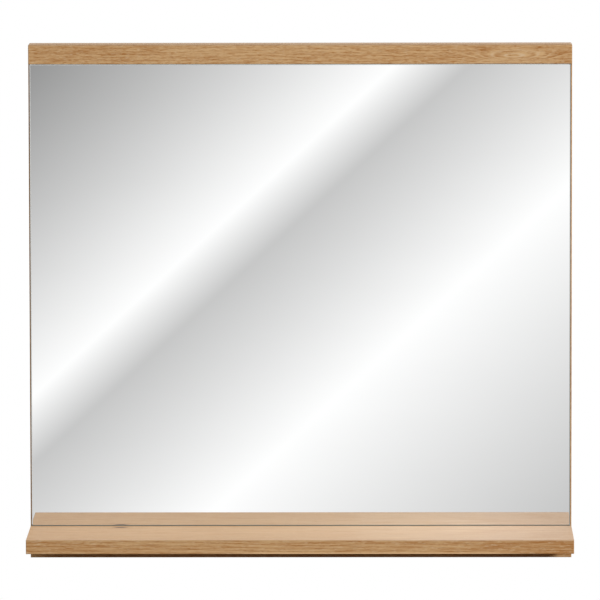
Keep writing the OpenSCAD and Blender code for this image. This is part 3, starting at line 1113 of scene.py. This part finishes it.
def keyhole_plate(side, material):
    """A plate with a round entry, a slot that runs up from it and two countersunk screw holes."""
    lo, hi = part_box("hanger_plate_" + side)
    mouth = HOLE_MOUTH * HANGER_SCREW_MM * MM
    heights = hanger_screw_heights(side)
    bm = bmesh.new()
    plate_outline(bm, hi - lo, (lo.z + hi.z) / 2)
    keyhole_outline(bm)
    screw_hole_outlines(bm, mouth, heights)
    bmesh.ops.triangle_fill(bm, use_beauty=True, edges=bm.edges[:])
    front = thicken(bm, hi.y - lo.y)
    for z in heights:
        foot = [v for v in front if (v.co.xz - Vector((0, z))).length < mouth + SAME_SIDE]
        bmesh.ops.scale(bm, vec=(HOLE_FOOT, 1, HOLE_FOOT), space=Matrix.Translation((0, 0, -z)), verts=foot)
    ease(bm, square_rims(bm), PLATE_EASE_MM * MM, 2)
    bmesh.ops.translate(bm, vec=((lo.x + hi.x) / 2, hi.y, 0), verts=bm.verts)
    new_piece("keyhole_plate_" + side, bm, [material], "zinc", "hanger_plate_" + side)


# --- boards -----------------------------------------------

def finish_node(name, material):
    """Gives a node that keeps its own shape its finish."""
    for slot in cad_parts[name].material_slots:
        slot.material = material


def oak_boards():
    """Gives each oak board a figure and a wear of its own. Painted shade darkens their ends, and painted
    sheen and highlight lie on the top rail's upper edge and on the shelf.
    """
    finish_node("top_rail", oak("oak_top_rail", "top_rail", (-40, -46), seed=1.0, end_shade=(0.05, 0.20),
                                bulge=RAIL_BULGE, dust_sheen=0.75))
    finish_node("bottom_rail", oak("oak_bottom_rail", "bottom_rail", (30, -60), seed=2.0))
    finish_node("shelf_board", oak("oak_shelf", "shelf_board", (15, -75), seed=3.0, grain=(2.5, 0.8),
                                   dashed=0.26, end_shade=(0.16, 0.42), knot=SHELF_KNOT, tone=-0.05,
                                   top_haze_and_sheen=0.52, lower_highlight=1.0))
    for side, seed in (("left", 4.0), ("right", 5.0)):
        node = "side_lipping_" + side
        finish_node(node, oak("oak_lipping_" + side, node, (30, 24), turn=(0, 90, 0), seed=seed))


# --- studio -----------------------------------------------

def camera():
    """A camera far away in front, a little above the part."""
    data = bpy.data.cameras.new("camera")
    data.lens = CAMERA_LENS_MM
    data.clip_end = CAMERA_REACH
    seat = bpy.data.objects.new("camera", data)
    bpy.context.scene.collection.objects.link(seat)
    turn = Matrix.Rotation(math.radians(CAMERA_TURN), 4, "Z")
    down = Matrix.Rotation(math.radians(90 - CAMERA_DOWN), 4, "X")
    roll = Matrix.Rotation(math.radians(CAMERA_ROLL), 4, "Z")
    seat.matrix_world = Matrix.Translation(CAMERA_PLACE) @ turn @ down @ roll
    bpy.context.scene.camera = seat


def key_light():
    """A large round lamp above, on the right in front."""
    lo, hi = cad_box
    data = bpy.data.lights.new("key", "AREA")
    data.shape = "DISK"
    data.size = KEY_WIDTH
    data.energy = KEY_WATTS
    lamp = bpy.data.objects.new("key", data)
    bpy.context.scene.collection.objects.link(lamp)
    lamp.location = (lo + hi) / 2 + TOWARDS_KEY * KEY_DISTANCE
    lamp.rotation_euler = TOWARDS_KEY.to_track_quat("Z", "Y").to_euler()


def reflected_room(g, direction, depth, height):
    """What mirror and metal show: bands of light in front, and a grey room elsewhere."""
    along = g.minus(g.vector("DOT_PRODUCT", direction, BAND_TILT), BAND_START)
    share = g.math("FRACT", g.math("DIVIDE", along, BAND_PERIOD))
    bands = g.ramp(share, 0.0, 1.0, BAND_STOPS)
    room = g.ramp(height, -1.0, 1.0, ROOM_STOPS)
    shown = g.mix(g.step(depth, *ROOM_SIDE), bands, room)
    return g.times(g.math("POWER", shown, DISPLAY_GAMMA), MIRROR_WHITE)


def soft_light(g, direction, depth, height):
    """Light on the object: most of it from the left in front and from behind, and next to none from
    below."""
    ambient = g.span(g.step(height, *AMBIENT_HEIGHT), 0.0, 1.0, AMBIENT_BELOW, AMBIENT_ABOVE)
    side = g.step(g.vector("DOT_PRODUCT", direction, TOWARDS_FILL), *FILL_SIDE)
    fill = g.times(side, g.step(height, *FILL_HEIGHT))
    low = g.times(g.step(height, *BACK_HEIGHT), g.fade(height, *BACK_TOP))
    back = g.times(g.step(depth, *BACK_SIDE), low)
    return g.plus(g.plus(ambient, g.times(fill, FILL)), g.times(back, BACK_FILL))


def studio_world():
    """White to the camera, a room with bands of light to mirror and metal, and soft light on the
    object."""
    world = bpy.data.worlds.new("studio")
    world.use_nodes = True
    bpy.context.scene.world = world
    g = Graph(world.node_tree)
    background = world.node_tree.nodes["Background"]
    direction = g.add("ShaderNodeTexCoord").outputs["Generated"]
    _, depth, height = g.split(direction)
    path = g.add("ShaderNodeLightPath")
    light = g.mix(g.gloss_rays(path), soft_light(g, direction, depth, height),
                  reflected_room(g, direction, depth, height))
    g.put(g.mix(path.outputs["Is Camera Ray"], light, (1, 1, 1, 1)), background.inputs["Color"])


def floor_finish():
    """Pale to the eye and in the mirror. The light that it throws back at the part is dim and warm, and
    comes from right below. From beneath it can't be seen, so that it doesn't hide the part."""
    material, g, shader = new_material("floor")
    x, y, _ = g.split(g.add("ShaderNodeTexCoord").outputs["Object"])
    away = g.step(g.vector("LENGTH", g.join(x, y, 0.0)), *FLOOR_LIT_RADIUS)
    path = g.add("ShaderNodeLightPath")
    seen = g.greater(path.outputs["Is Camera Ray"], g.gloss_rays(path))
    g.put(g.mix(seen, g.mix(away, FLOOR_LIT, FLOOR_DIM), FLOOR_PALE), shader.inputs["Base Color"])
    shader.inputs["Roughness"].default_value = FLOOR_ROUGHNESS
    shader.inputs["Specular IOR Level"].default_value = 0.0
    one_sided = g.add("ShaderNodeMixShader")
    g.put(g.add("ShaderNodeNewGeometry").outputs["Backfacing"], one_sided.inputs["Fac"])
    g.put(shader.outputs[0], one_sided.inputs[1])
    g.put(g.add("ShaderNodeBsdfTransparent").outputs[0], one_sided.inputs[2])
    g.put(one_sided.outputs[0], material.node_tree.nodes["Material Output"].inputs["Surface"])
    return material


def studio_floor():
    """A plain floor far below the part."""
    lo, _ = cad_box
    bm = bmesh.new()
    bmesh.ops.create_grid(bm, x_segments=1, y_segments=1, size=FLOOR_WIDTH / 2)
    bmesh.ops.translate(bm, vec=(0, 0, lo.z - FLOOR_DROP), verts=bm.verts)
    mesh = bpy.data.meshes.new("floor")
    bm.to_mesh(mesh)
    bm.free()
    mesh.materials.append(floor_finish())
    floor = bpy.data.objects.new("floor", mesh)
    bpy.context.scene.collection.objects.link(floor)


# --- scene ------------------------------------------------

bpy.context.scene.view_settings.view_transform = "Standard"
camera()
key_light()
studio_world()
studio_floor()

oak_boards()
finish_node("carrier_board", fibreboard())
mirror_pane()
foam_tape_strips(foam_tape())
adhesive_beads(cured_adhesive())
zinc = zinc_plate()
shelf_screws(zinc)
for side in ("left", "right"):
    keyhole_plate(side, zinc)
    hanger_screws(side, zinc)
upright_beech = beech("beech_upright", UPRIGHT_BEECH_SIZE_MM)
level_beech = beech("beech_level", LEVEL_BEECH_SIZE_MM)
dowels("top_rail_dowels", RAIL_DOWELS, "Z", upright_beech)
dowels("bottom_rail_dowels", RAIL_DOWELS, "Z", upright_beech)
dowels("shelf_dowels", SHELF_DOWELS, "Y", level_beech)
